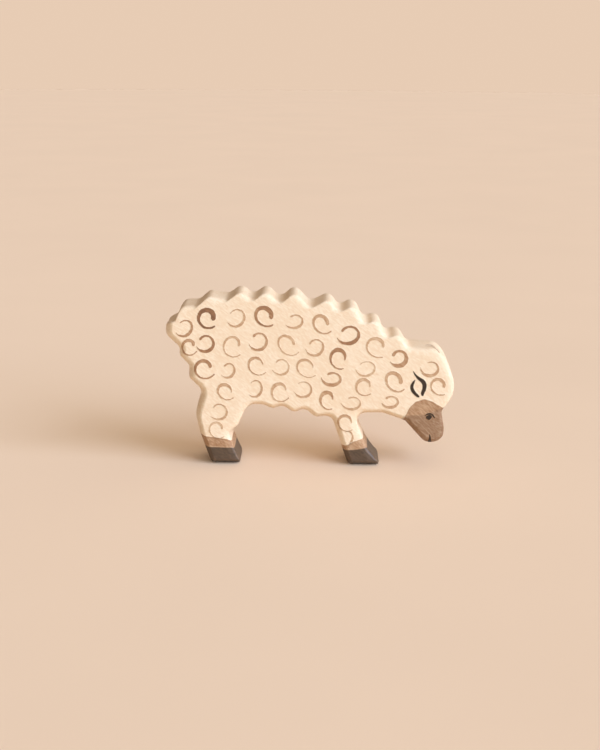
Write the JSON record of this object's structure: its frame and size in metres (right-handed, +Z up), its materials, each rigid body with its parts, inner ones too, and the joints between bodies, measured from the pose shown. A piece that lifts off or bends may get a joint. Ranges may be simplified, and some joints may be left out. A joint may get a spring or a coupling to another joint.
{
  "type": "wooden sheep figure",
  "caption": "Standing sheep figure sawn from a thick board, with broken edges, a scalloped wool outline, and painted muzzle, ears, eyes and feet.",
  "frame": {"origin": "on the floor under the middle of the figure", "axes": "+X from tail to head, +Y through the board away from the viewer, +Z up"},
  "size_m": [0.1152, 0.0194, 0.0705],
  "materials": {
    "bare_wood": "pale close-grained wood, sanded and waxed",
    "muzzle_paint": "thin brown paint with the grain showing",
    "sock_paint": "thin light brown paint with the grain showing",
    "hoof_paint": "matt dark brown paint, rubbed at the edges",
    "dark_paint": "matt near-black brush strokes"
  },
  "bodies": {
    "root": {"wooden_body": "bare_wood", "muzzle_coat": "muzzle_paint", "hind_hoof_coat": "hoof_paint", "hind_sock_coat": "sock_paint", "fore_hoof_coat": "hoof_paint", "fore_sock_coat": "sock_paint", "near_ear_front_stroke": "dark_paint", "near_ear_rear_stroke": "dark_paint", "near_eye": "dark_paint", "near_mouth": "dark_paint", "far_ear_front_stroke": "dark_paint", "far_ear_rear_stroke": "dark_paint", "far_eye": "dark_paint", "far_mouth": "dark_paint"}
  },
  "joints": []
}
